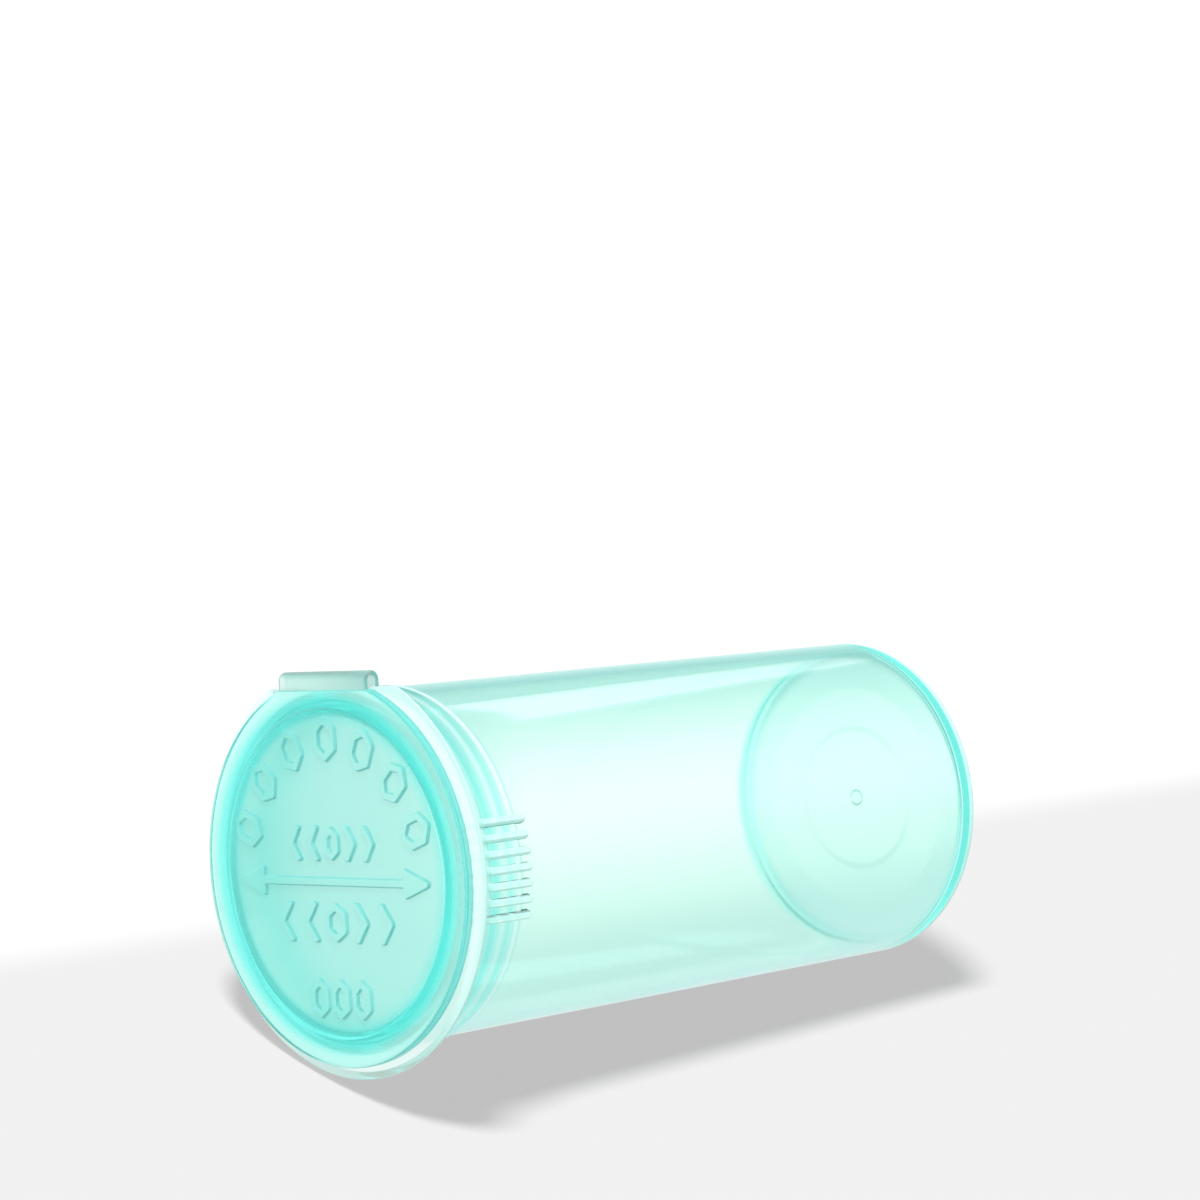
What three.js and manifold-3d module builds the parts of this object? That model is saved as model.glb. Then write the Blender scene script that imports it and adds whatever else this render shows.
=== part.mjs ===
// Prescription vial with a squeeze-to-open lid on a living hinge, closed, standing on its base.
// Millimetres, +Z up along the vial's axis. Origin: centre of the face that it stands on.
// +Y is the hinge side, and the two ribbed squeeze zones face +X and -X.
// The real object is one polypropylene moulding. It is split here where it flexes: the vial, the folded hinge
// strap, and the lid with its sealing plug.

import * as THREE from 'three';
import { mergeVertices } from 'three/addons/utils/BufferGeometryUtils.js';
import Module from 'manifold-3d';

// ---- Driving dimensions ----
const VIAL_HEIGHT = 92.1;        // standing face to the top of the flange
const TUBE_RADIUS_TOP = 21.5;    // outside, under the collar
const TUBE_RADIUS_BASE = 20.9;   // outside, at the base
const WALL = 1.05;
const FLOOR = 1.3;
const FLANGE_RADIUS = 25;
const FLANGE_THICKNESS = 1;
const COLLAR_RADIUS = 21.85;     // slightly thicker band that the plug seats in
const COLLAR_BOTTOM = 83.3;
const LID_RADIUS = 23.4;
const LID_THICKNESS = 1.4;
const CLEARANCE = 0.3;           // between neighbouring pieces
const HINGE_WIDTH = 15.8;
const RIB_COUNT = 7;             // in each squeeze zone
const TURN_STEPS = 72;           // facets round the vial

// ---- Heights and radii worked out from them ----
const FLANGE_BOTTOM = VIAL_HEIGHT - FLANGE_THICKNESS;
const MOUTH_RADIUS = TUBE_RADIUS_TOP - WALL;
const FLOOR_RADIUS = TUBE_RADIUS_BASE - WALL;
const LID_BOTTOM = VIAL_HEIGHT + CLEARANCE;
const LID_TOP = LID_BOTTOM + LID_THICKNESS;

// ---- Base details ----
const FOOT_INNER_RADIUS = 18.2;  // inside of the ring that it stands on
const FOOT_RECESS = 0.45;
const DISC_RADIUS = 9;           // shallow second step in the underside
const DISC_DEPTH = 0.2;
const GATE_RADIUS = 1.1;         // nub left where the plastic entered the mould
const GATE_HEIGHT = 0.35;
const FOOT_ROUNDING = 1.2;
const FLOOR_ROUNDING = 1.6;

// ---- Rim details ----
const RIM_ROUNDING = 0.3;
const COLLAR_SHOULDER = 0.35;
const MOUTH_LEAD_IN = 0.5;       // widening of the mouth over its top millimetre
const MOUTH_LEAD_DEPTH = 1;

// ---- Squeeze ribs ----
const RIB_PITCH = THREE.MathUtils.degToRad(5);
const RIB_RADIUS = 0.55;
const RIB_LOWEST_CENTRE = 82.3;
const RIB_ROOT = 0.2;            // how far a rib runs up into the flange
const RIB_CIRCLE_RADIUS = COLLAR_RADIUS + 0.05;

// ---- Lid details ----
const LID_ROUNDING = 0.35;
const PANEL_RADIUS = 19.6;
const PANEL_DEPTH = 0.3;
const PANEL_TOP = LID_TOP - PANEL_DEPTH;
const RELIEF_HEIGHT = 0.35;
const RELIEF_ROOT = 0.2;         // depth of the raised figures inside the panel
const PLUG_RADIUS = MOUTH_RADIUS - CLEARANCE;
const PLUG_WALL = 1;
const PLUG_DEPTH = 5.3;

// ---- Living hinge ----
const LID_CHORD = 21.95;         // flat edge that the hinge leaves the lid from
const FLANGE_CHORD = 22.15;
const LOOP_Y = 23;               // centre line of the folded loop
const LOOP_Z = (FLANGE_BOTTOM + LID_TOP) / 2;
const LOOP_OUTER_RADIUS = 1.15;
const STRAP_THICKNESS = 0.55;
const LOOP_INNER_RADIUS = LOOP_OUTER_RADIUS - STRAP_THICKNESS;
const LOOP_HALF_ANGLE = THREE.MathUtils.degToRad(78);
const LIP_END = LOOP_Y - 0.15;

const wasm = await Module();
wasm.setup();

function toSolid(geometry) {
  const bare = geometry.clone();
  bare.deleteAttribute('normal');
  bare.deleteAttribute('uv');
  const merged = mergeVertices(bare, 1e-4);
  return new wasm.Manifold(new wasm.Mesh({
    numProp: 3,
    vertProperties: Float32Array.from(merged.attributes.position.array),
    triVerts: Uint32Array.from(merged.index.array),
  }));
}

function toGeometry(solid) {
  const { vertProperties, triVerts } = solid.getMesh();
  const geometry = new THREE.BufferGeometry();
  geometry.setAttribute('position', new THREE.BufferAttribute(Float32Array.from(vertProperties), 3));
  geometry.setIndex(new THREE.BufferAttribute(Uint32Array.from(triVerts), 1));
  geometry.computeVertexNormals();
  return geometry;
}

// A solid turned about the vial's axis from [radius, height] points.
function turned(points, steps = TURN_STEPS) {
  const lathe = new THREE.LatheGeometry(points.map(([r, z]) => new THREE.Vector2(r, z)), steps);
  return lathe.rotateX(Math.PI / 2);
}

// [radius, height] points of an arc in a turned profile, between two angles in degrees.
function arc(centreRadius, centreHeight, radius, from, to, steps = 4) {
  return Array.from({ length: steps + 1 }, (_, i) => {
    const t = THREE.MathUtils.degToRad(from + (to - from) * i / steps);
    return [centreRadius + radius * Math.cos(t), centreHeight + radius * Math.sin(t)];
  });
}

function boxBetween(low, high) {
  const size = high.map((value, i) => value - low[i]);
  const middle = high.map((value, i) => (value + low[i]) / 2);
  return new THREE.BoxGeometry(...size).translate(...middle);
}

// Everything beyond the plane y = chord, between two heights.
function beyondChord(chord, low, high) {
  const far = 2 * FLANGE_RADIUS;
  return boxBetween([-far, chord, low], [far, far, high]);
}

// The thin lip that joins the folded strap to the flange or to the lid.
function hingeLip(from, side) {
  const middle = LOOP_Z + side * (LOOP_OUTER_RADIUS + LOOP_INNER_RADIUS) / 2;
  const half = STRAP_THICKNESS / 2;
  return boxBetween([-HINGE_WIDTH / 2, from - 0.5, middle - half], [HINGE_WIDTH / 2, LIP_END, middle + half]);
}

// ---- Vial ----
function vialProfile() {
  const discHeight = FOOT_RECESS + DISC_DEPTH;
  const flangeEdge = FLANGE_RADIUS - RIM_ROUNDING;
  return [
    [0, discHeight - GATE_HEIGHT],
    [GATE_RADIUS, discHeight - GATE_HEIGHT],
    [GATE_RADIUS, discHeight],
    [DISC_RADIUS, discHeight],
    [DISC_RADIUS + DISC_DEPTH, FOOT_RECESS],
    [FOOT_INNER_RADIUS - FOOT_RECESS, FOOT_RECESS],
    [FOOT_INNER_RADIUS, 0],
    ...arc(TUBE_RADIUS_BASE - FOOT_ROUNDING, FOOT_ROUNDING, FOOT_ROUNDING, -90, 0),
    [TUBE_RADIUS_TOP, COLLAR_BOTTOM - COLLAR_SHOULDER],
    [COLLAR_RADIUS, COLLAR_BOTTOM],
    [COLLAR_RADIUS, FLANGE_BOTTOM - RIM_ROUNDING],
    [COLLAR_RADIUS + RIM_ROUNDING, FLANGE_BOTTOM],
    ...arc(flangeEdge, FLANGE_BOTTOM + RIM_ROUNDING, RIM_ROUNDING, -90, 0, 2),
    ...arc(flangeEdge, VIAL_HEIGHT - RIM_ROUNDING, RIM_ROUNDING, 0, 90, 2),
    [MOUTH_RADIUS + MOUTH_LEAD_IN, VIAL_HEIGHT],
    [MOUTH_RADIUS, VIAL_HEIGHT - MOUTH_LEAD_DEPTH],
    ...arc(FLOOR_RADIUS - FLOOR_ROUNDING, FLOOR + FLOOR_ROUNDING, FLOOR_ROUNDING, 0, -90),
    [0, FLOOR],
  ];
}

// One grip rib: a round bar along the collar, ending in a ball just below the collar's shoulder.
function rib(angle) {
  const bar = turned([
    ...arc(0, RIB_LOWEST_CENTRE, RIB_RADIUS, -90, 0, 3),
    [RIB_RADIUS, FLANGE_BOTTOM + RIB_ROOT],
    [0, FLANGE_BOTTOM + RIB_ROOT],
  ], 12);
  return bar.translate(RIB_CIRCLE_RADIUS * Math.cos(angle), RIB_CIRCLE_RADIUS * Math.sin(angle), 0);
}

function vialBody() {
  let body = toSolid(turned(vialProfile()));
  for (const side of [0, Math.PI]) {
    for (let i = 0; i < RIB_COUNT; i += 1) {
      body = body.add(toSolid(rib(side + (i - (RIB_COUNT - 1) / 2) * RIB_PITCH)));
    }
  }
  const cut = toSolid(beyondChord(FLANGE_CHORD, FLANGE_BOTTOM - 1, VIAL_HEIGHT + 1));
  return toGeometry(body.subtract(cut).add(toSolid(hingeLip(FLANGE_CHORD, -1))));
}

// ---- Folded hinge strap ----
// A half-round loop about its own centre, open towards the vial, extruded across the hinge's width.
function hingeStrap() {
  const outline = new THREE.Shape();
  outline.absarc(0, 0, LOOP_OUTER_RADIUS, -LOOP_HALF_ANGLE, LOOP_HALF_ANGLE, false);
  outline.absarc(0, 0, LOOP_INNER_RADIUS, LOOP_HALF_ANGLE, -LOOP_HALF_ANGLE, true);
  outline.closePath();
  const settings = { depth: HINGE_WIDTH, bevelEnabled: false, curveSegments: 14 };
  const strap = new THREE.ExtrudeGeometry(outline, settings).translate(0, 0, -HINGE_WIDTH / 2);
  // The outline's x becomes +Y and its y becomes +Z, so the extrusion runs along +X.
  const x = new THREE.Vector3(1, 0, 0);
  const y = new THREE.Vector3(0, 1, 0);
  const z = new THREE.Vector3(0, 0, 1);
  return toGeometry(toSolid(strap.applyMatrix4(new THREE.Matrix4().makeBasis(y, z, x))));
}

// ---- Lid ----
function lidProfile() {
  const edge = LID_RADIUS - LID_ROUNDING;
  return [
    [0, LID_BOTTOM],
    [edge, LID_BOTTOM],
    ...arc(edge, LID_BOTTOM + LID_ROUNDING, LID_ROUNDING, -45, 0, 1),
    ...arc(edge, LID_TOP - LID_ROUNDING, LID_ROUNDING, 0, 90, 2),
    [PANEL_RADIUS + PANEL_DEPTH, LID_TOP],
    [PANEL_RADIUS, PANEL_TOP],
    [0, PANEL_TOP],
  ];
}

// A flat figure raised from the lid's panel.
function raised(shape, curveSegments = 5) {
  const settings = { depth: RELIEF_HEIGHT + RELIEF_ROOT, bevelEnabled: false, curveSegments };
  return new THREE.ExtrudeGeometry(shape, settings).translate(0, 0, PANEL_TOP - RELIEF_ROOT);
}

// A raised pad with round ends, centred on (x, y) and turned by an angle.
function pad(x, y, width, height, angle = 0) {
  const r = width / 2;
  const shape = new THREE.Shape();
  shape.absarc(0, height / 2 - r, r, 0, Math.PI, false);
  shape.absarc(0, r - height / 2, r, Math.PI, 2 * Math.PI, false);
  return raised(shape).rotateZ(angle).translate(x, y, 0);
}

function padRow(count, width, centreY, height) {
  const padShare = 0.7;
  const pitch = width / (count - 1 + padShare);
  return Array.from({ length: count }, (_, i) =>
    pad((i - (count - 1) / 2) * pitch, centreY, pitch * padShare, height));
}

function padArc(count, radius, from, to, width, height) {
  return Array.from({ length: count }, (_, i) => {
    const t = THREE.MathUtils.degToRad(from + (to - from) * i / (count - 1));
    return pad(radius * Math.cos(t), radius * Math.sin(t), width, height, t - Math.PI / 2);
  });
}

// The double-headed arrow that points at the two squeeze zones.
function squeezeArrow() {
  const tip = 17.8;
  const neck = tip - 5.2;
  const headHalf = 1.9;
  const shaftHalf = 0.45;
  const half = [[neck, shaftHalf], [neck, headHalf], [tip, 0], [neck, -headHalf], [neck, -shaftHalf]];
  const whole = [...half, ...half.map(([x, y]) => [-x, -y])];
  return raised(new THREE.Shape(whole.map(([x, y]) => new THREE.Vector2(x, y)))).translate(0, -1, 0);
}

function lid() {
  const disc = toSolid(turned(lidProfile()));
  const cut = toSolid(beyondChord(LID_CHORD, LID_BOTTOM - 1, LID_TOP + 1));
  const relief = [
    squeezeArrow(),
    ...padArc(7, 16.4, 161, 19, 3, 4.8),
    ...padRow(5, 15.3, 3.6, 4.1),
    ...padRow(5, 21.1, -5.9, 4.7),
    ...padRow(3, 10.2, -15.1, 5),
  ];
  let body = disc.subtract(cut).add(toSolid(hingeLip(LID_CHORD, 1)));
  for (const figure of relief) body = body.add(toSolid(figure));
  return toGeometry(body);
}

// ---- Sealing plug under the lid ----
function lidSealPlug() {
  const top = LID_BOTTOM - CLEARANCE;
  const bottom = top - PLUG_DEPTH;
  const inner = PLUG_RADIUS - PLUG_WALL;
  const profile = [
    [inner + 0.2, bottom],
    [PLUG_RADIUS - 0.35, bottom],
    [PLUG_RADIUS, bottom + 1.4],
    [PLUG_RADIUS - 0.1, bottom + 2.6],
    [PLUG_RADIUS - 0.1, top],
    [inner, top],
  ];
  return toGeometry(toSolid(turned([...profile, profile[0]])));
}

// ---- Assembly ----
function part(name, geometry, color, roughness) {
  const look = { color, roughness, metalness: 0, transparent: true, opacity: 0.6 };
  const mesh = new THREE.Mesh(geometry, new THREE.MeshStandardMaterial(look));
  mesh.name = name;
  return mesh;
}

const strap = part('hinge_strap', hingeStrap(), 0xccefea, 0.2);
strap.position.set(0, LOOP_Y, LOOP_Z);

const lidGroup = new THREE.Group();
lidGroup.add(part('lid', lid(), 0xa8f0e4, 0.45));
lidGroup.add(part('lid_seal_plug', lidSealPlug(), 0x48dcd0, 0.2));

const vial = new THREE.Group();
vial.add(part('vial_body', vialBody(), 0xc4f2e8, 0.12), strap, lidGroup);

export default vial;
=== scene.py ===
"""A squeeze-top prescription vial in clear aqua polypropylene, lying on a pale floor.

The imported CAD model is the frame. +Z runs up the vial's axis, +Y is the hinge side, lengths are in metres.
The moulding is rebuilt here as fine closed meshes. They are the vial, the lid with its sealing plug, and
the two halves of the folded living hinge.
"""

import math

import bpy
import numpy as np
from mathutils import Matrix, Vector
from mathutils.geometry import tessellate_polygon

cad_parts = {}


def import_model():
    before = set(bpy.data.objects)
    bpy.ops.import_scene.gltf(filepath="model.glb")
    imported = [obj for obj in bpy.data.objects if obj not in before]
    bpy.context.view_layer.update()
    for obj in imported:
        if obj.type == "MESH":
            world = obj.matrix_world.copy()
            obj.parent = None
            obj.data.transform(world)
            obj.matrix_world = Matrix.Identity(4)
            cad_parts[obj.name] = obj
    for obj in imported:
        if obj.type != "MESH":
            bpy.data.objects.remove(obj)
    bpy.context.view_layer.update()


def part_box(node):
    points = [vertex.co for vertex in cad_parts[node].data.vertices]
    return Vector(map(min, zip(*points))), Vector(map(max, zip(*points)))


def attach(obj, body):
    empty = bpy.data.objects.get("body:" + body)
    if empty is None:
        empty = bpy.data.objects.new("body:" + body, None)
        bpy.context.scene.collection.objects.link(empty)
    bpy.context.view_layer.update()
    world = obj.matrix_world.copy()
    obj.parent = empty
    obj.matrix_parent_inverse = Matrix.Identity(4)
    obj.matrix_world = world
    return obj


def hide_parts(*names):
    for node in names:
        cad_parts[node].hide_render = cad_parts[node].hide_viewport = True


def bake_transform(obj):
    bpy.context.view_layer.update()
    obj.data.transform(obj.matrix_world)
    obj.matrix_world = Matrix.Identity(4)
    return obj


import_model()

MM = 0.001

# ---- Sizes read from the frame ----
vial_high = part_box("vial_body")[1]
lid_low, lid_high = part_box("lid")
plug_low, plug_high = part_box("lid_seal_plug")
strap_low, strap_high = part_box("hinge_strap")

FLANGE_RADIUS = vial_high.x
FLANGE_TOP = vial_high.z
LID_RADIUS = lid_high.x
LID_BOTTOM = lid_low.z
PLUG_RADIUS = plug_high.x
PLUG_BOTTOM = plug_low.z
HINGE_HALF_WIDTH = strap_high.x
LOOP_OUTER_RADIUS = 1.15 * MM
LOOP_Y = strap_high.y - LOOP_OUTER_RADIUS
LOOP_Z = (strap_low.z + strap_high.z) / 2

# ---- Vial ----
WALL = 1.05 * MM
FLOOR = 1.3 * MM
FLANGE_BOTTOM = FLANGE_TOP - 1.0 * MM
FLANGE_BEVEL = 0.95 * MM
TUBE_RADIUS_TOP = 21.5 * MM
TUBE_RADIUS_BASE = 20.9 * MM
COLLAR_RADIUS = 21.85 * MM
COLLAR_BOTTOM = 83.3 * MM
COLLAR_SHOULDER = 0.35 * MM
MOUTH_RADIUS = TUBE_RADIUS_TOP - WALL
FLOOR_RADIUS = TUBE_RADIUS_BASE - WALL
FOOT_INNER_RADIUS = 18.2 * MM
FOOT_RECESS = 0.45 * MM
DISC_RADIUS = 9 * MM
DISC_HEIGHT = FOOT_RECESS + 0.1 * MM
GATE_RADIUS = 1.1 * MM
GATE_DEPTH = 0.25 * MM
DISC_SLOPE = 0.7 * MM
FOOT_SLOPE_START = FOOT_INNER_RADIUS - 3.5 * MM
FOOT_SLOPE_END = FOOT_INNER_RADIUS + 1 * MM
PLAIN_TUBE_END = 78 * MM         # the rows over the ribs follow above it
MOUTH_CHAMFER = 0.5 * MM
FLANGE_CHORD = 22.15 * MM        # the flange ends straight here, at the hinge
CHORD_MARGIN = 0.02 * MM

# ---- Squeeze ribs ----
RIB_PITCH = math.radians(5)
RIBS_EACH_SIDE = 3               # of the middle one
RIB_RADIUS = 0.55 * MM
RIB_CIRCLE_RADIUS = COLLAR_RADIUS + 0.05 * MM
RIB_LOWEST_CENTRE = 82.3 * MM
RIB_FADE_START = 86.5 * MM       # above this the ribs sink towards the flange
RIB_ROOT_FILLET = 0.12 * MM
RIB_SINK = 0.6                   # share of a rib's radius that it has sunk by the flange
RIB_PROUD = 0.2 * MM             # below the flange, a face this far out from the collar is a rib's
GAP_STEPS = 72                   # columns in each gap between the rib zones

# ---- Lid ----
LID_TOP = LID_BOTTOM + 1.4 * MM
PANEL_RADIUS = 19.6 * MM
PANEL_TOP = LID_TOP - 0.3 * MM
PLUG_WALL = 1 * MM
PLUG_BEAD = 0.1 * MM
LID_CHORD = 21.95 * MM           # the lid ends straight here, at the hinge
LID_ROUND_RADIUS = 21.3 * MM     # the lid is a full circle up to here
LID_COLUMNS = 240
RELIEF_HEIGHT = 0.4 * MM

# ---- Living hinge ----
STRAP_THICKNESS = 0.55 * MM
STRAP_OVERLAP = 0.1 * MM         # of the strap's ends with the flange and the lid
LOOP_MIDDLE_RADIUS = LOOP_OUTER_RADIUS - STRAP_THICKNESS / 2


# ---- Profiles and outlines ----
def smooth(t):
    """Smoothstep from 0 to 1."""
    t = np.clip(t, 0, 1)
    return t * t * (3 - 2 * t)


def rounded(corners, closed=False, step=math.radians(14)):
    """An outline from (x, y, rounding) corners.

    Each corner becomes an arc, with a support point on either side.
    """
    points = [Vector(c[:2]) for c in corners]
    count = len(points)
    out = []
    for i, corner in enumerate(corners):
        radius = corner[2] if len(corner) > 2 else 0
        if radius == 0 or (not closed and i in (0, count - 1)):
            out.append(points[i])
            continue
        before = points[i - 1] - points[i]
        after = points[(i + 1) % count] - points[i]
        half = before.angle(after) / 2
        reach = min(radius / math.tan(half), 0.45 * before.length, 0.45 * after.length)
        radius = reach * math.tan(half)
        middle = (before.normalized() + after.normalized()).normalized()
        centre = points[i] + middle * (radius / math.sin(half))
        start = points[i] + before.normalized() * reach
        end = points[i] + after.normalized() * reach
        turn = math.pi - 2 * half
        steps = max(2, round(turn / step))
        side = 1 if before.cross(after) < 0 else -1
        support = min(0.2 * radius, 0.04 * before.length, 0.04 * after.length)
        out.append(start + before.normalized() * support)
        first = start - centre
        for k in range(steps + 1):
            out.append(centre + Matrix.Rotation(side * turn * k / steps, 2) @ first)
        out.append(end + after.normalized() * support)
    return np.array(out)


def columns():
    """Angles round the vial: close together over each rib, and even elsewhere."""
    half = math.asin(RIB_RADIUS / RIB_CIRCLE_RADIUS)
    across = [0, 0.22, 0.45, 0.65, 0.8, 0.9, 0.97, 1.03, 1.12, 1.3]
    offsets = sorted({s * a * half for a in across for s in (-1, 1)})
    found = []
    for zone in (0, math.pi):
        for i in range(-RIBS_EACH_SIDE, RIBS_EACH_SIDE + 1):
            found += [zone + i * RIB_PITCH + o for o in offsets]
    zone_half = (RIBS_EACH_SIDE + 0.5) * RIB_PITCH
    gap = math.pi - 2 * zone_half
    for zone in (0, math.pi):
        found += [zone + zone_half + gap * k / GAP_STEPS for k in range(GAP_STEPS + 1)]
    return np.sort(np.array(found) % (2 * math.pi))


def cut_by_chord(radius, angles, inner, outer, chord):
    """Draws a ring's radii in so that the ring ends on the plane y = chord.

    Radii up to inner stay as they are.
    """
    with np.errstate(divide="ignore"):
        edge = np.where(np.sin(angles) > 0, chord / np.sin(angles), np.inf)
    edge = np.minimum(edge, outer)
    share = (radius - inner) / (outer - inner)
    return np.where(radius > inner, inner + share * (edge - inner), radius)


def turned_points(rows, angles):
    """Vertex positions, row by row, of radii (rows by columns) and heights (rows)."""
    radius, height = rows
    x = radius * np.cos(angles)
    y = radius * np.sin(angles)
    z = np.broadcast_to(height[:, None], radius.shape)
    return np.stack([x, y, z], axis=2)


def skin(points, first_pole, last_pole):
    """Vertices and faces of a turned skin. A pole is a row that lies on the axis and becomes one vertex."""
    rows, cols = points.shape[:2]
    verts = [tuple(p) for p in points.reshape(-1, 3)]
    faces = []
    start = 1 if first_pole else 0
    stop = rows - 2 if last_pole else rows - 1
    for i in range(start, stop):
        for j in range(cols):
            k = (j + 1) % cols
            faces.append((i * cols + j, i * cols + k, (i + 1) * cols + k, (i + 1) * cols + j))
    if first_pole:
        faces += [(0, cols + (j + 1) % cols, cols + j) for j in range(cols)]
    if last_pole:
        base = (rows - 2) * cols
        tip = (rows - 1) * cols
        faces += [(base + j, base + (j + 1) % cols, tip) for j in range(cols)]
    return verts, faces


def add_object(name, data):
    """A new object in the scene."""
    obj = bpy.data.objects.new(name, data)
    bpy.context.scene.collection.objects.link(obj)
    return obj


def mesh_object(name, verts, faces, frosted=()):
    """A smooth mesh object. Vertices that no face uses are dropped.

    frosted holds the places of the faces that have a fine texture.
    """
    used = sorted({v for f in faces for v in f})
    place = {v: i for i, v in enumerate(used)}
    mesh = bpy.data.meshes.new(name)
    mesh.from_pydata([verts[v] for v in used], [], [tuple(place[v] for v in f) for f in faces])
    mesh.validate()
    mesh.polygons.foreach_set("use_smooth", [True] * len(mesh.polygons))
    mesh.set_sharp_from_angle(angle=math.radians(40))
    frost = mesh.attributes.new("frost", "FLOAT", "FACE")
    values = np.zeros(len(faces), np.float32)
    values[list(frosted)] = 1
    frost.data.foreach_set("value", values)
    return add_object(name, mesh)


# ---- Vial ----
def tube_radius(height):
    """Outside of the plain tube, which is slightly tapered."""
    return TUBE_RADIUS_BASE + (TUBE_RADIUS_TOP - TUBE_RADIUS_BASE) * height / COLLAR_BOTTOM


def wall_radius(height):
    """Outside of the wall, with the collar's shoulder."""
    tube = tube_radius(height)
    rise = smooth((height - COLLAR_BOTTOM + COLLAR_SHOULDER) / COLLAR_SHOULDER)
    return tube + (COLLAR_RADIUS - tube) * rise


def with_ribs(height, angles):
    """Outside radius over the rib rows, by row and column."""
    wall = wall_radius(height)[:, None]
    zone = np.where(np.cos(angles) > 0, 0, math.pi)
    turn = (angles - zone + math.pi) % (2 * math.pi) - math.pi
    nearest = np.clip(np.round(turn / RIB_PITCH), -RIBS_EACH_SIDE, RIBS_EACH_SIDE)
    across = RIB_CIRCLE_RADIUS * np.sin(turn - nearest * RIB_PITCH)
    below = np.minimum(height - RIB_LOWEST_CENTRE, 0)[:, None]
    share = (across[None, :] ** 2 + below**2) / RIB_RADIUS**2
    crown = RIB_RADIUS * np.sqrt(np.clip(1 - share, 0, 1))
    sink = smooth((height - RIB_FADE_START) / (FLANGE_BOTTOM - RIB_FADE_START))[:, None]
    top = RIB_CIRCLE_RADIUS + crown - RIB_SINK * RIB_RADIUS * sink
    top = np.where(share < 1, top, 0)
    near = np.clip(RIB_ROOT_FILLET - np.abs(top - wall), 0, None) / RIB_ROOT_FILLET
    return np.maximum(top, wall) + near**2 * RIB_ROOT_FILLET / 4


def rib_heights():
    """Row heights over the ribs: close together at their round ends and at the collar's shoulder."""
    end = RIB_LOWEST_CENTRE - RIB_RADIUS * np.array([1.15, 1.03, 0.97, 0.9, 0.78, 0.6, 0.4, 0.2, 0])
    shoulder = COLLAR_BOTTOM - COLLAR_SHOULDER * np.linspace(1.15, -0.15, 9)
    upper = np.linspace(COLLAR_BOTTOM + 0.3 * MM, FLANGE_BOTTOM - 0.45 * MM, 16)
    return np.concatenate([end, shoulder, upper])


def vial_shell():
    """The tube, base, collar, ribs and flange as one closed skin, from under the base to the floor inside."""
    angles = columns()
    base = rounded([
        (0, DISC_HEIGHT - GATE_DEPTH),
        (GATE_RADIUS - GATE_DEPTH, DISC_HEIGHT - GATE_DEPTH, 0.12 * MM),
        (GATE_RADIUS, DISC_HEIGHT, 0.12 * MM),
        (DISC_RADIUS, DISC_HEIGHT, 0.3 * MM),
        (DISC_RADIUS + DISC_SLOPE, FOOT_RECESS, 0.3 * MM),
        (FOOT_SLOPE_START, FOOT_RECESS, 3 * MM),
        (FOOT_SLOPE_END, 0, 1 * MM),
        (TUBE_RADIUS_BASE, 0, 1.2 * MM),
        (tube_radius(PLAIN_TUBE_END), PLAIN_TUBE_END),
    ])
    heights = rib_heights()
    rim = rounded([
        (COLLAR_RADIUS, FLANGE_BOTTOM - 0.4 * MM),
        (COLLAR_RADIUS, FLANGE_BOTTOM, 0.3 * MM),
        (FLANGE_RADIUS - FLANGE_BEVEL, FLANGE_BOTTOM, 0.2 * MM),
        (FLANGE_RADIUS, FLANGE_TOP - 0.3 * MM, 0.12 * MM),
        (FLANGE_RADIUS, FLANGE_TOP, 0.12 * MM),
        (MOUTH_RADIUS + MOUTH_CHAMFER, FLANGE_TOP, 0.15 * MM),
        (MOUTH_RADIUS, FLANGE_TOP - 1 * MM, 0.4 * MM),
        (FLOOR_RADIUS, FLOOR, 1.6 * MM),
        (0, FLOOR),
    ])
    base_rows, rim_rows = (np.repeat(outline[:, :1], len(angles), axis=1) for outline in (base, rim))
    cut_rim = cut_by_chord(rim_rows, angles, COLLAR_RADIUS + CHORD_MARGIN, FLANGE_RADIUS, FLANGE_CHORD)
    radius = np.concatenate([base_rows, with_ribs(heights, angles), cut_rim])
    height = np.concatenate([base[:, 1], heights, rim[:, 1]])
    verts, faces = skin(turned_points((radius, height), angles), True, True)
    proud = COLLAR_RADIUS + RIB_PROUD
    textured = [
        i for i, f in enumerate(faces)
        if max(math.hypot(*verts[v][:2]) for v in f) > proud and min(verts[v][2] for v in f) < FLANGE_BOTTOM
    ]
    return mesh_object("vial_shell", verts, faces, textured)


# ---- Raised figures on the lid ----
FIGURE_STROKE = 0.88 * MM
ARROW_Y = -1 * MM
ARC_CELLS = 7
ARC_RADIUS = 16.1 * MM
ARC_START = 161                  # degrees
ARC_SWEEP = 142                  # degrees
ARC_CELL_SIZE = (3.9 * MM, 5.5 * MM)
CHEVRON_ROWS = [(3.6, 3.3, 4.2), (-5.9, 4.5, 4.8)]      # (middle, pitch, height) in mm
LOW_CELL_SIZE = (3.3 * MM, 5 * MM)
LOW_CELL_PITCH = 3.8 * MM
LOW_CELL_Y = -15.1 * MM

# From outside an outline to inside it: (mm outwards, share of the relief's height).
EDGE_LEVELS = [
    (0.18, 0), (0.15, 0), (0.1, 0.07), (0.05, 0.35),
    (0, 0.7), (-0.05, 0.93), (-0.1, 1), (-0.13, 1),
]


def spread(outline, spacing=0.35 * MM):
    """Adds points along a closed outline's long straight stretches."""
    out = []
    for a, b in zip(outline, np.roll(outline, -1, axis=0)):
        steps = max(1, int(np.linalg.norm(b - a) / spacing))
        out += [a + (b - a) * k / steps for k in range(steps)]
    return np.array(out)


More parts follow.
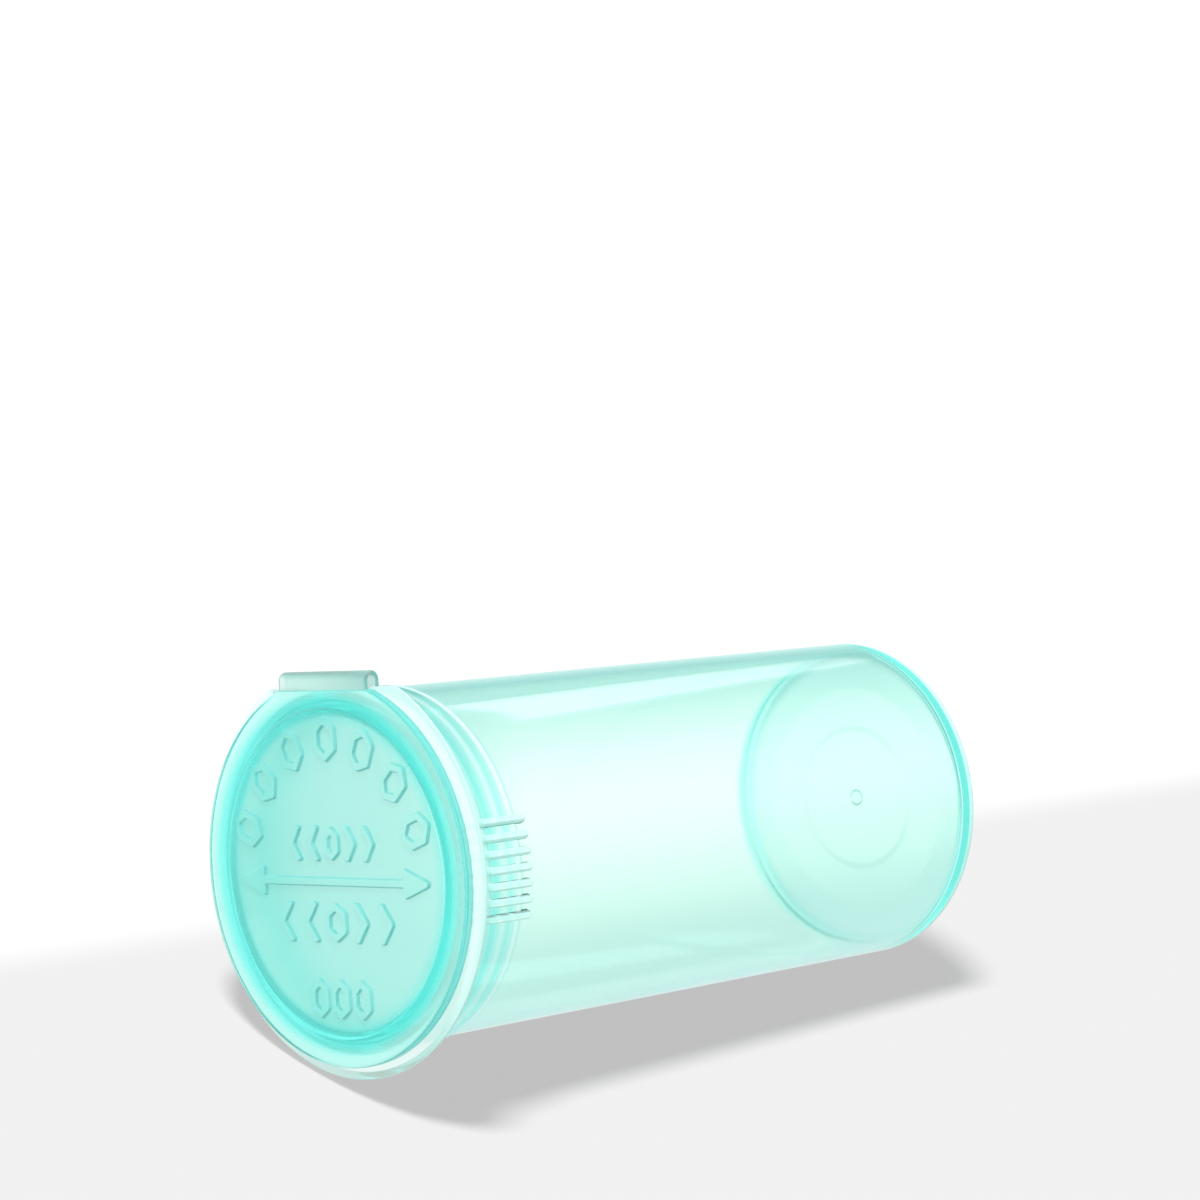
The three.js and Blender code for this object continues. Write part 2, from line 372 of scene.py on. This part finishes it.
def outwards(outline):
    """Unit normals on the right of a closed outline's direction of travel."""
    along = np.roll(outline, -1, axis=0) - np.roll(outline, 1, axis=0)
    along /= np.linalg.norm(along, axis=1)[:, None]
    return np.stack([along[:, 1], -along[:, 0]], axis=1)


def cell(width, height, stroke):
    """A raised outline of a tall six-sided cell: its outer loop, and its inner loop the other way round."""
    x, y = width / 2, height / 2
    outer = [(x, -y / 2), (x, y / 2), (0, y), (-x, y / 2), (-x, -y / 2), (0, -y)]
    narrow, low = 1 - stroke / x, 1 - 1.15 * stroke / y
    inner = [(px * narrow, py * low) for px, py in reversed(outer)]
    loops = [[(*p, 0.5 * MM) for p in outer], [(*p, 0.3 * MM) for p in inner]]
    return [spread(rounded(loop, closed=True)) for loop in loops]


def chevron(width, height, stroke, side):
    """A raised chevron that points along side * X."""
    reach = stroke * math.hypot(height / 2, width) / (height / 2)
    corners = [
        (width / 2, 0, 0.4 * MM),
        (-width / 2, height / 2, 0.25 * MM),
        (-width / 2 - reach, height / 2, 0.25 * MM),
        (width / 2 - reach, 0, 0.25 * MM),
        (-width / 2 - reach, -height / 2, 0.25 * MM),
        (-width / 2, -height / 2, 0.25 * MM),
    ]
    shifted = [(x + reach / 2, y, r) for x, y, r in corners]
    if side < 0:
        shifted = [(-x, y, r) for x, y, r in reversed(shifted)]
    return [spread(rounded(shifted, closed=True))]


def squeeze_arrow():
    """The double-headed arrow that points at the two ribbed zones."""
    tip, neck, head, shaft = 17.8 * MM, 12.6 * MM, 1.9 * MM, 0.45 * MM
    right = [
        (neck, -shaft, 0.15 * MM),
        (neck, -head, 0.3 * MM),
        (tip, 0, 0.4 * MM),
        (neck, head, 0.3 * MM),
        (neck, shaft, 0.15 * MM),
    ]
    left = [(-x, -y, r) for x, y, r in right]
    return [spread(rounded(right + left, closed=True))]


def placed(loops, x, y, angle=0.0):
    """Loops turned by angle and moved to x, y."""
    c, s = math.cos(angle), math.sin(angle)
    turn = np.array([[c, s], [-s, c]])
    return [loop @ turn + np.array([x, y]) for loop in loops]


def figures():
    """Every raised figure on the panel, as a list of loops."""
    found = [placed(squeeze_arrow(), 0, ARROW_Y)]
    for i in range(ARC_CELLS):
        t = math.radians(ARC_START - ARC_SWEEP * i / (ARC_CELLS - 1))
        where = ARC_RADIUS * math.cos(t), ARC_RADIUS * math.sin(t)
        found.append(placed(cell(*ARC_CELL_SIZE, FIGURE_STROKE), *where, t - math.pi / 2))
    for middle, pitch, height in CHEVRON_ROWS:
        for i in (-2, -1, 1, 2):
            side = 1 if i > 0 else -1
            shape = chevron(0.4 * pitch * MM, height * MM, FIGURE_STROKE, side)
            found.append(placed(shape, i * pitch * MM, middle * MM))
        found.append(placed(cell(0.85 * pitch * MM, height * MM, FIGURE_STROKE), 0, middle * MM))
    for i in (-1, 0, 1):
        found.append(placed(cell(*LOW_CELL_SIZE, FIGURE_STROKE), i * LOW_CELL_PITCH, LOW_CELL_Y))
    return found


def raise_figures(verts, faces, edge):
    """Fills the panel inside the vertices of edge, with every figure raised from it.

    Returns the new faces' places.
    """
    first = len(faces)
    bases = []
    for loops in figures():
        tops = []
        for loop in loops:
            normal = outwards(loop)
            rings = []
            for distance, share in EDGE_LEVELS:
                flat = loop + normal * distance * MM
                z = PANEL_TOP + share * RELIEF_HEIGHT
                rings.append(range(len(verts), len(verts) + len(flat)))
                verts += [(x, y, z) for x, y in flat]
            for low, high in zip(rings, rings[1:]):
                for j in range(len(low)):
                    k = (j + 1) % len(low)
                    faces.append((low[j], low[k], high[k], high[j]))
            bases.append(rings[0])
            tops.append(rings[-1])
        faces += filled(verts, tops)
    faces += filled(verts, [edge, *bases])
    return range(first, len(faces))


def filled(verts, loops):
    """Triangles, facing up, between flat loops of vertices."""
    indices = [i for loop in loops for i in loop]
    triangles = tessellate_polygon([[Vector(verts[i]) for i in loop] for loop in loops])
    out = []
    for t in triangles:
        a, b, c = (indices[i] for i in t)
        pa, pb, pc = (Vector(verts[i]) for i in (a, b, c))
        out.append((a, b, c) if (pb - pa).cross(pc - pa).z > 0 else (a, c, b))
    return out


# ---- Lid with its sealing plug ----
def lid_shell():
    """The lid's disc and plug as one closed skin, from under the disc to the raised panel."""
    angles = np.linspace(0, 2 * math.pi, LID_COLUMNS, endpoint=False)
    inner = PLUG_RADIUS - PLUG_WALL
    profile = rounded([
        (0, LID_BOTTOM),
        (inner, LID_BOTTOM, 0.4 * MM),
        (inner, PLUG_BOTTOM, 0.35 * MM),
        (PLUG_RADIUS - 0.35 * MM, PLUG_BOTTOM, 0.3 * MM),
        (PLUG_RADIUS + PLUG_BEAD, PLUG_BOTTOM + 1.4 * MM, 0.6 * MM),
        (PLUG_RADIUS, PLUG_BOTTOM + 2.6 * MM, 0.6 * MM),
        (PLUG_RADIUS, LID_BOTTOM, 0.15 * MM),
        (LID_RADIUS, LID_BOTTOM, 0.3 * MM),
        (LID_RADIUS, LID_TOP, 0.35 * MM),
        (PANEL_RADIUS + 0.3 * MM, LID_TOP, 0.15 * MM),
        (PANEL_RADIUS, PANEL_TOP, 0.15 * MM),
        (PANEL_RADIUS - 0.25 * MM, PANEL_TOP),
    ])
    plain = np.repeat(profile[:, :1], len(angles), axis=1)
    radius = cut_by_chord(plain, angles, LID_ROUND_RADIUS, LID_RADIUS, LID_CHORD)
    points = turned_points((radius, profile[:, 1]), angles)
    verts, faces = skin(points, True, False)
    edge = range(len(verts) - len(angles), len(verts))
    frosted = raise_figures(verts, faces, edge)
    return mesh_object("lid_shell", verts, faces, frosted)


# ---- Folded living hinge ----
def hinge_half(name, side):
    """One half of the folded strap with its lip. Side -1 leaves the flange and side +1 leaves the lid."""
    steps = 16
    chord = LID_CHORD if side > 0 else FLANGE_CHORD
    root = chord - STRAP_OVERLAP
    half = STRAP_THICKNESS / 2
    outer, inner = [], []
    for y in np.linspace(root, LOOP_Y, 5)[:-1]:
        outer.append((y, side * (LOOP_MIDDLE_RADIUS + half)))
        inner.append((y, side * (LOOP_MIDDLE_RADIUS - half)))
    for k in range(steps + 1):
        t = side * math.pi / 2 * (1 - k / steps)
        for found, r in ((outer, LOOP_MIDDLE_RADIUS + half), (inner, LOOP_MIDDLE_RADIUS - half)):
            found.append((LOOP_Y + r * math.cos(t), r * math.sin(t)))
    outer, inner = np.array(outer), np.array(inner)
    section = np.concatenate([outer, inner[::-1]])
    middle = (outer + inner) / 2
    middles = np.concatenate([middle, middle[::-1]])
    # Each end of the strap is rounded: (distance from the end, share drawn in to the middle line).
    rounding = [(0, 0.5), (0.02 * MM, 0.22), (0.08 * MM, 0.05), (0.16 * MM, 0)]
    across = [(-(HINGE_HALF_WIDTH - d), pull) for d, pull in rounding]
    across += [(-x, pull) for x, pull in reversed(across)]
    verts, faces = [], []
    for x, pull in across:
        drawn = section + (middles - section) * pull
        verts += [(x, y, LOOP_Z + z) for y, z in drawn]
    n = len(section)
    for i in range(len(across) - 1):
        for j in range(n):
            k = (j + 1) % n
            faces.append((i * n + j, i * n + k, (i + 1) * n + k, (i + 1) * n + j))
    last = (len(across) - 1) * n
    m = len(outer)
    for j in range(m - 1):
        a, b, c, d = j, j + 1, n - 2 - j, n - 1 - j
        faces.append((a, d, c, b))
        faces.append((last + a, last + b, last + c, last + d))
    if side > 0:
        faces = [f[::-1] for f in faces]
    return mesh_object(name, verts, faces)


# ---- Materials ----
def node(tree, kind, values=None, **settings):
    """A new node. A value that is another node's output is linked, and any other value is set."""
    made = tree.nodes.new(kind)
    for key, value in settings.items():
        setattr(made, key, value)
    for key, value in (values or {}).items():
        if hasattr(value, "links") and hasattr(value, "node"):
            tree.links.new(value, made.inputs[key])
        else:
            made.inputs[key].default_value = value
    return made


def math_node(tree, operation, *values):
    return node(tree, "ShaderNodeMath", dict(enumerate(values)), operation=operation).outputs[0]


def front_side(tree):
    """1 on the front of a face and 0 on its back."""
    behind = node(tree, "ShaderNodeNewGeometry").outputs["Backfacing"]
    return math_node(tree, "SUBTRACT", 1.0, behind)


def empty_material(name):
    material = bpy.data.materials.new(name)
    material.use_nodes = True
    material.node_tree.nodes.clear()
    return material


IOR = 1.49
# Red, green and blue light falls off in the plastic as exp(-(1 - value) x density x metres).
TINT = (0.0, 0.965, 0.95, 1)
# Share of the sun that each surface of the plastic lets through to the floor. It is neutral by choice.
SHADOW_VEIL = (0.25, 0.25, 0.25, 1)

# Colours of the plastic's faint cloudiness. The ring's colour is painted shade, the deep teal of a long path
# through the plastic under the lid's ring.
MILK = (0.62, 0.95, 0.9, 1)
LID_MILK = (0.32, 0.97, 0.91, 1)
RING_PAINTED_SHADE = (0.14, 0.92, 0.84, 1)

# Bands on the surface, which are painted light. The teal bands are painted shade where thicker plastic and
# the walls behind it would deepen the colour.
# The white cloudy bands are painted highlights and painted reflections.
# Each is (height or radius in mm, tint of the surface, cloudiness, colour of the cloudiness).
PLAIN = (1, 1, 0.95, 1)
TEAL = (0.5, 0.93, 0.89, 1)
DEEP_TEAL = (0.4, 0.92, 0.88, 1)
WHITE = (0.9, 1, 0.98, 1)
VIAL_BANDS_WITH_PAINTED_LIGHT = [                      # by height
    (0.0, PLAIN, 0.5, WHITE),
    (0.3, PLAIN, 0.5, WHITE),
    (0.4, PLAIN, 0.12, WHITE),
    (0.6, PLAIN, 0.12, WHITE),
    (0.7, PLAIN, 0.5, WHITE),
    (1.1, PLAIN, 0.5, WHITE),
    (1.4, DEEP_TEAL, 0.1, MILK),
    (2.2, DEEP_TEAL, 0.1, MILK),
    (3.0, PLAIN, 0.12, MILK),
    (82.7, PLAIN, 0.12, MILK),
    (83.0, TEAL, 0.1, MILK),
    (83.3, TEAL, 0.1, MILK),
    (83.5, PLAIN, 0.42, WHITE),
    (84.0, PLAIN, 0.42, WHITE),
    (84.4, TEAL, 0.1, MILK),
    (85.3, TEAL, 0.1, MILK),
    (85.7, PLAIN, 0.22, WHITE),
    (86.2, PLAIN, 0.22, WHITE),
    (86.6, DEEP_TEAL, 0.1, MILK),
    (88.0, DEEP_TEAL, 0.1, MILK),
    (88.5, PLAIN, 0.32, WHITE),
    (90.9, PLAIN, 0.32, WHITE),
    (91.2, TEAL, 0.1, MILK),
    (91.7, TEAL, 0.1, MILK),
    (91.9, PLAIN, 0.5, WHITE),
]
LID_BANDS_WITH_PAINTED_SHADE = [                       # by radius
    (17.8, PLAIN, 0.22, LID_MILK),
    # the ring: painted shade of a long path through the plastic
    (20.3, DEEP_TEAL, 0.36, RING_PAINTED_SHADE),
    (20.9, DEEP_TEAL, 0.36, RING_PAINTED_SHADE),
    (22.2, PLAIN, 0.22, LID_MILK),
]
RIB_CLOUD = 0.28
HINGE_CLOUD = 0.2


def bands(tree, where, table):
    """Three colour ramps over a height or radius: tint, cloudiness and the colour of the cloudiness. They
    carry the painted highlights and painted shade of the bands.
    """
    low, high = table[0][0], table[-1][0]
    share = node(tree, "ShaderNodeMapRange", {
        "Value": where, "From Min": low * MM, "From Max": high * MM,
    }).outputs["Result"]
    made = []
    for pick in (
        lambda tint, haze_and_painted_light_share, haze_and_painted_light: tint,
        lambda tint, haze_and_painted_light_share, haze_and_painted_light: (haze_and_painted_light_share, haze_and_painted_light_share, haze_and_painted_light_share, 1),
        lambda tint, haze_and_painted_light_share, haze_and_painted_light: haze_and_painted_light,
    ):
        ramp = node(tree, "ShaderNodeValToRGB", {"Fac": share})
        stops = ramp.color_ramp.elements
        while len(stops) < len(table):
            stops.new(1.0)
        for stop, (at, *look) in zip(stops, table):
            stop.position = (at - low) / (high - low)
            stop.color = pick(*look)
        made.append(ramp.outputs["Color"])
    return made


def vial_look(tree, place):
    """The vial's bands of painted highlight and painted shade, by height. The ribs, which the mesh marks as
    frosted, have one even look.
    """
    height = node(tree, "ShaderNodeSeparateXYZ", {"Vector": place}).outputs["Z"]
    tint, haze_and_painted_light_share, haze_and_painted_light = bands(tree, height, VIAL_BANDS_WITH_PAINTED_LIGHT)
    rib = node(tree, "ShaderNodeAttribute", attribute_name="frost").outputs["Fac"]
    grey = (RIB_CLOUD, RIB_CLOUD, RIB_CLOUD, 1)
    tint, haze_and_painted_light_share, haze_and_painted_light = [
        node(tree, "ShaderNodeMix", {"Factor": rib, 6: banded, 7: plain}, data_type="RGBA").outputs[2]
        for banded, plain in ((tint, PLAIN), (haze_and_painted_light_share, grey), (haze_and_painted_light, WHITE))
    ]
    return tint, haze_and_painted_light_share, haze_and_painted_light


def lid_look(tree, place):
    """The lid's bands by radius, on its disc, with the ring's painted shade. The plug under the disc keeps
    the innermost look.
    """
    flat = node(tree, "ShaderNodeVectorMath", {0: place, 1: (1, 1, 0)}, operation="MULTIPLY").outputs[0]
    radius = node(tree, "ShaderNodeVectorMath", {0: flat}, operation="LENGTH").outputs["Value"]
    height = node(tree, "ShaderNodeSeparateXYZ", {"Vector": place}).outputs["Z"]
    disc = math_node(tree, "GREATER_THAN", height, LID_BOTTOM - 0.05 * MM)
    return bands(tree, math_node(tree, "MULTIPLY", radius, disc), LID_BANDS_WITH_PAINTED_SHADE)


def hinge_look(tree, place):
    """The hinge looks the same all over."""
    return PLAIN, HINGE_CLOUD, MILK


def clear_plastic(name, roughness, density, look, frost_roughness=None):
    """Clear tinted polypropylene, faintly cloudy, with a finely textured zone where the mesh is frosted. The
    look's bands paint highlights and shade into its tint and cloudiness.
    """
    material = empty_material(name)
    tree = material.node_tree
    place = node(tree, "ShaderNodeTexCoord").outputs["Object"]
    haze = node(tree, "ShaderNodeTexNoise", {"Vector": place, "Scale": 90.0, "Detail": 3.0})
    rough = node(tree, "ShaderNodeMapRange", {
        "Value": haze.outputs["Fac"], "To Min": roughness * 0.7, "To Max": roughness * 1.3,
    }).outputs["Result"]
    flow = node(tree, "ShaderNodeTexNoise", {"Vector": place, "Scale": 60.0, "Detail": 2.0})
    bump = node(tree, "ShaderNodeBump", {
        "Height": flow.outputs["Fac"], "Strength": 0.05, "Distance": 0.5 * MM,
    })
    normal = bump.outputs["Normal"]
    if frost_roughness is not None:
        frost = node(tree, "ShaderNodeAttribute", attribute_name="frost").outputs["Fac"]
        grain = node(tree, "ShaderNodeTexNoise", {"Vector": place, "Scale": 2600.0, "Detail": 2.0})
        strength = math_node(tree, "MULTIPLY", frost, 0.35)
        normal = node(tree, "ShaderNodeBump", {
            "Height": grain.outputs["Fac"], "Strength": strength,
            "Distance": 0.03 * MM, "Normal": normal,
        }).outputs["Normal"]
        rough = node(tree, "ShaderNodeMix", {
            "Factor": frost, "A": rough, "B": frost_roughness,
        }).outputs["Result"]
    tint, haze_and_painted_light_amount, haze_and_painted_light_colour = look(tree, place)
    glass = node(tree, "ShaderNodeBsdfPrincipled", {
        "Base Color": tint, "Roughness": rough, "IOR": IOR,
        "Transmission Weight": 1.0, "Normal": normal,
    }).outputs[0]
    haze_and_painted_light = node(tree, "ShaderNodeBsdfDiffuse", {"Color": haze_and_painted_light_colour, "Normal": normal}).outputs[0]
    haze_and_painted_light_share = math_node(tree, "MULTIPLY", front_side(tree), haze_and_painted_light_amount)
    body = node(tree, "ShaderNodeMixShader", {0: haze_and_painted_light_share, 1: glass, 2: haze_and_painted_light}).outputs[0]
    veil = node(tree, "ShaderNodeBsdfTransparent", {"Color": SHADOW_VEIL}).outputs[0]
    shadow = node(tree, "ShaderNodeLightPath").outputs["Is Shadow Ray"]
    mix = node(tree, "ShaderNodeMixShader", {0: shadow, 1: body, 2: veil})
    depth = node(tree, "ShaderNodeVolumeAbsorption", {"Color": TINT, "Density": density})
    out = node(tree, "ShaderNodeOutputMaterial")
    tree.links.new(mix.outputs[0], out.inputs["Surface"])
    tree.links.new(depth.outputs[0], out.inputs["Volume"])
    return material


# ---- Pieces ----
def build_pieces():
    """Builds the four pieces and puts the vial and the lid each on its body."""
    vial = vial_shell()
    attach(vial, "vial")
    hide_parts("vial_body")
    # the vial's bands paint highlights and shade onto this plastic
    vial.data.materials.append(clear_plastic(
        "aqua_plastic_with_painted_light", 0.05, 190.0, vial_look, frost_roughness=0.15))

    lid = lid_shell()
    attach(lid, "lid")
    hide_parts("lid", "lid_seal_plug")
    # the lid's ring band is painted shade
    lid.data.materials.append(clear_plastic(
        "frosted_aqua_plastic_with_painted_shade", 0.18, 215.0, lid_look, frost_roughness=0.45))

    fold = clear_plastic("hinge_aqua_plastic", 0.3, 300.0, hinge_look)
    lower = hinge_half("hinge_lower", -1)
    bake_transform(lower)
    upper = hinge_half("hinge_upper", 1)
    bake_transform(upper)
    for half in (lower, upper):
        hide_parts("hinge_strap")
        half.data.materials.append(fold)
    for piece in (vial, lid, lower, upper):
        piece.visible_diffuse = False   # so that the floor's own light stays even


# ---- Studio ----
CAMERA_PLACE = Vector((0.3733, 0.0421, 0.4111))
CAMERA_FORWARD = Vector((-0.7149, -0.0237, -0.6988))
CAMERA_UP = Vector((0.0292, 0.9975, -0.0637))
SENSOR_WIDTH = 36                    # mm
LENS = 123                           # mm

FLOOR_AZIMUTH = math.radians(70)     # of the floor's normal, round the vial's axis
FLOOR_SIZE = (0.9, 0.5)
FLOOR_SKEW = 0.09                    # turns the floor's back edge away from the vial's axis
FLOOR_EDGE_ALONG = 0.016             # a point on the back edge, from the contact point
FLOOR_EDGE_ACROSS = -0.048
FLOOR_LEAD = 0.6                     # of the sheet's corner before that point
FLOOR_FADE = 13 * MM
FLOOR_GREY = (0.5, 0.5, 0.5, 1)

ROOM_LOW = (0.92, 0.92, 0.92, 1)     # what the plastic sees below
ROOM_HIGH = (0.34, 0.54, 0.51, 1)    # what the plastic sees overhead
CAMERA_WHITE = 1.05
FLOOR_LIGHT = 1.06

BACKLIGHT_COLOUR = (1, 0.6, 0.5, 1)
BACKLIGHT_STRENGTH = 0.8
BACKLIGHT_CORNER = Vector((-0.06, -0.05, 0.025))
BACKLIGHT_SIZE = (0.4, 0.1)
BACKLIGHT_MIDDLE = 0.048             # across the sheet
BACKLIGHT_REACH = 27 * MM
BACKLIGHT_RISE = (2 * MM, 20 * MM)

# A four-sided softbox over the floor, beyond the vial's base. Its far edge is slightly narrower, and turned.
SOFTBOX_NEAR = [Vector((-0.02, 0.25, -0.15)), Vector((-0.13, 0.25, -0.16))]
SOFTBOX_FAR = [Vector((-0.24, 0.25, -0.36)), Vector((-0.15, 0.25, -0.31))]
SOFTBOX_DEPTH = (-0.36, -0.15)       # height in the frame of its far and near ends
SOFTBOX_STRENGTH = (0.8, 2.0)        # at its far and near ends

SUN_ENERGY = 2.35
SUN_ANGLE = math.radians(12)
SUN_ACROSS = 0.05
SUN_ALONG = 0.36

BOUNCES = 160                        # enough for light that is trapped in the walls


def camera():
    data = bpy.data.cameras.new("camera")
    data.sensor_width = SENSOR_WIDTH
    data.lens = LENS
    obj = add_object("camera", data)
    right = CAMERA_FORWARD.cross(CAMERA_UP).normalized()
    up = right.cross(CAMERA_FORWARD).normalized()
    obj.matrix_world = Matrix.LocRotScale(
        CAMERA_PLACE, Matrix([right, up, -CAMERA_FORWARD.normalized()]).transposed(), None)
    bpy.context.scene.camera = obj


def floor_axes():
    """The floor's contact point under the flange, its normal, and the ways along and across the vial."""
    out = Vector((math.cos(FLOOR_AZIMUTH), math.sin(FLOOR_AZIMUTH), 0))
    tilt = math.atan((FLANGE_RADIUS - TUBE_RADIUS_BASE) / FLANGE_TOP)
    normal = (out * math.cos(tilt) + Vector((0, 0, math.sin(tilt)))).normalized()
    contact = -out * FLANGE_RADIUS + Vector((0, 0, FLANGE_TOP - 0.5 * MM))
    along = (Vector((0, 0, 1)) - normal * normal.z).normalized()
    return contact, normal, along, normal.cross(along)


def stage_sheet(name, origin, x_axis, y_axis, size, material):
    """A flat stage sheet whose own x and y run from 0 to size, from origin."""
    mesh = bpy.data.meshes.new(name)
    w, h = size
    mesh.from_pydata([(0, 0, 0), (w, 0, 0), (w, h, 0), (0, h, 0)], [], [(0, 1, 2, 3)])
    mesh.materials.append(material)
    obj = add_object(name, mesh)
    z_axis = x_axis.cross(y_axis)
    obj.matrix_world = Matrix.LocRotScale(origin, Matrix([x_axis, y_axis, z_axis]).transposed(), None)
    return obj


def floor_material():
    """Matt pale floor that fades out at its back edge and isn't seen from behind."""
    material = empty_material("pale_floor")
    tree = material.node_tree
    place = node(tree, "ShaderNodeTexCoord").outputs["Object"]
    back = node(tree, "ShaderNodeSeparateXYZ", {"Vector": place}).outputs["Y"]
    fade = node(tree, "ShaderNodeMapRange", {
        "Value": back, "From Min": 0.0, "From Max": FLOOR_FADE,
    }, interpolation_type="SMOOTHSTEP").outputs["Result"]
    shown = math_node(tree, "MULTIPLY", fade, front_side(tree))
    matt = node(tree, "ShaderNodeBsdfDiffuse", {"Color": FLOOR_GREY})
    clear = node(tree, "ShaderNodeBsdfTransparent")
    mix = node(tree, "ShaderNodeMixShader", {0: shown, 1: clear.outputs[0], 2: matt.outputs[0]})
    out = node(tree, "ShaderNodeOutputMaterial")
    tree.links.new(mix.outputs[0], out.inputs["Surface"])
    return material


def backlight_material():
    """A soft light that adds to what is behind it.

    It is brightest along its middle line and fades out on either side. At its top end it rises from nothing.
    """
    material = empty_material("backlight_glow")
    tree = material.node_tree
    place = node(tree, "ShaderNodeTexCoord").outputs["Object"]
    axes = node(tree, "ShaderNodeSeparateXYZ", {"Vector": place}).outputs
    off = math_node(tree, "SUBTRACT", axes["Y"], BACKLIGHT_MIDDLE)
    far = math_node(tree, "ABSOLUTE", off)
    level = node(tree, "ShaderNodeMapRange", {
        "Value": far, "From Min": 0.0, "From Max": BACKLIGHT_REACH,
        "To Min": BACKLIGHT_STRENGTH, "To Max": 0.0,
    }, interpolation_type="SMOOTHSTEP").outputs["Result"]
    start, full = BACKLIGHT_RISE
    rise = node(tree, "ShaderNodeMapRange", {
        "Value": axes["X"], "From Min": start, "From Max": full,
    }, interpolation_type="SMOOTHSTEP").outputs["Result"]
    power = math_node(tree, "MULTIPLY", level, front_side(tree))
    power = math_node(tree, "MULTIPLY", power, rise)
    light = node(tree, "ShaderNodeEmission", {"Color": BACKLIGHT_COLOUR, "Strength": power})
    clear = node(tree, "ShaderNodeBsdfTransparent")
    both = node(tree, "ShaderNodeAddShader", {0: light.outputs[0], 1: clear.outputs[0]})
    out = node(tree, "ShaderNodeOutputMaterial")
    tree.links.new(both.outputs[0], out.inputs["Surface"])
    return material


def softbox_material():
    """A plain light that is brighter at the end nearer the vial."""
    material = empty_material("strip_glow")
    tree = material.node_tree
    far_depth, near_depth = SOFTBOX_DEPTH
    far_strength, near_strength = SOFTBOX_STRENGTH
    place = node(tree, "ShaderNodeTexCoord").outputs["Object"]
    depth = node(tree, "ShaderNodeSeparateXYZ", {"Vector": place}).outputs["Z"]
    power = node(tree, "ShaderNodeMapRange", {
        "Value": depth, "From Min": far_depth, "From Max": near_depth,
        "To Min": far_strength, "To Max": near_strength,
    }).outputs["Result"]
    light = node(tree, "ShaderNodeEmission", {"Strength": power})
    out = node(tree, "ShaderNodeOutputMaterial")
    tree.links.new(light.outputs[0], out.inputs["Surface"])
    return material


def only_in_the_plastic(obj):
    """Makes a light show only through and on the plastic."""
    obj.visible_camera = False
    obj.visible_diffuse = False
    obj.visible_shadow = False


def world():
    """A white room to the camera and an even light to the floor.

    What the plastic reflects and lets through is a pale room that is dimmer and cooler overhead.
    """
    made = bpy.data.worlds.new("studio")
    made.use_nodes = True
    tree = made.node_tree
    tree.nodes.clear()
    direction = node(tree, "ShaderNodeTexCoord").outputs["Generated"]
    height = node(tree, "ShaderNodeVectorMath", {
        0: direction, 1: floor_axes()[1],
    }, operation="DOT_PRODUCT").outputs["Value"]
    share = node(tree, "ShaderNodeMapRange", {
        "Value": height, "From Min": -0.3, "From Max": 0.2,
    }, interpolation_type="SMOOTHSTEP").outputs["Result"]
    shade = node(tree, "ShaderNodeMix", {
        "Factor": share, 6: ROOM_LOW, 7: ROOM_HIGH,
    }, data_type="RGBA").outputs[2]
    room = node(tree, "ShaderNodeBackground", {"Color": shade, "Strength": 1.0})
    white = node(tree, "ShaderNodeBackground", {"Color": (1, 1, 1, 1), "Strength": CAMERA_WHITE})
    even = node(tree, "ShaderNodeBackground", {"Color": (1, 1, 1, 1), "Strength": FLOOR_LIGHT})
    path = node(tree, "ShaderNodeLightPath").outputs
    lit = node(tree, "ShaderNodeMixShader", {
        0: path["Is Diffuse Ray"], 1: room.outputs[0], 2: even.outputs[0],
    })
    mix = node(tree, "ShaderNodeMixShader", {
        0: path["Is Camera Ray"], 1: lit.outputs[0], 2: white.outputs[0],
    })
    out = node(tree, "ShaderNodeOutputWorld")
    tree.links.new(mix.outputs[0], out.inputs["Surface"])
    made.cycles.sampling_method = "NONE"
    bpy.context.scene.world = made


def floor():
    contact, normal, along, across = floor_axes()
    x_axis = (along - across * FLOOR_SKEW).normalized()
    y_axis = normal.cross(x_axis)
    origin = contact + along * FLOOR_EDGE_ALONG + across * FLOOR_EDGE_ACROSS - x_axis * FLOOR_LEAD
    sheet = stage_sheet("floor", origin, x_axis, y_axis, FLOOR_SIZE, floor_material())
    sheet.visible_transmission = False
    sheet.visible_glossy = False


def backlight():
    """A glow on the vial's far side, from the lower part of the tube to beyond its base."""
    downwards, sideways = Vector((0, 0, -1)), Vector((0, 1, 0))
    only_in_the_plastic(stage_sheet(
        "backlight", BACKLIGHT_CORNER, downwards, sideways, BACKLIGHT_SIZE, backlight_material()))


def softbox():
    mesh = bpy.data.meshes.new("strip_softbox")
    mesh.from_pydata(SOFTBOX_NEAR + SOFTBOX_FAR, [], [(0, 1, 2, 3)])
    mesh.materials.append(softbox_material())
    strip = add_object("strip_softbox", mesh)
    only_in_the_plastic(strip)


def sun():
    data = bpy.data.lights.new("sun", "SUN")
    data.energy = SUN_ENERGY
    data.angle = SUN_ANGLE
    light = add_object("sun", data)
    light.visible_glossy = False
    light.visible_transmission = False
    normal, along, across = floor_axes()[1:]
    down = -(normal + across * SUN_ACROSS + along * SUN_ALONG)
    light.rotation_mode = "QUATERNION"
    light.rotation_quaternion = down.to_track_quat("-Z", "Y")


def studio():
    camera()
    world()
    floor()
    backlight()
    softbox()
    sun()
    scene = bpy.context.scene
    scene.view_settings.view_transform = "Standard"
    cycles = scene.cycles
    cycles.max_bounces = BOUNCES
    cycles.transmission_bounces = BOUNCES
    cycles.glossy_bounces = 128
    cycles.transparent_max_bounces = 32
    cycles.diffuse_bounces = 2
    cycles.caustics_reflective = False
    cycles.caustics_refractive = False


studio()
build_pieces()
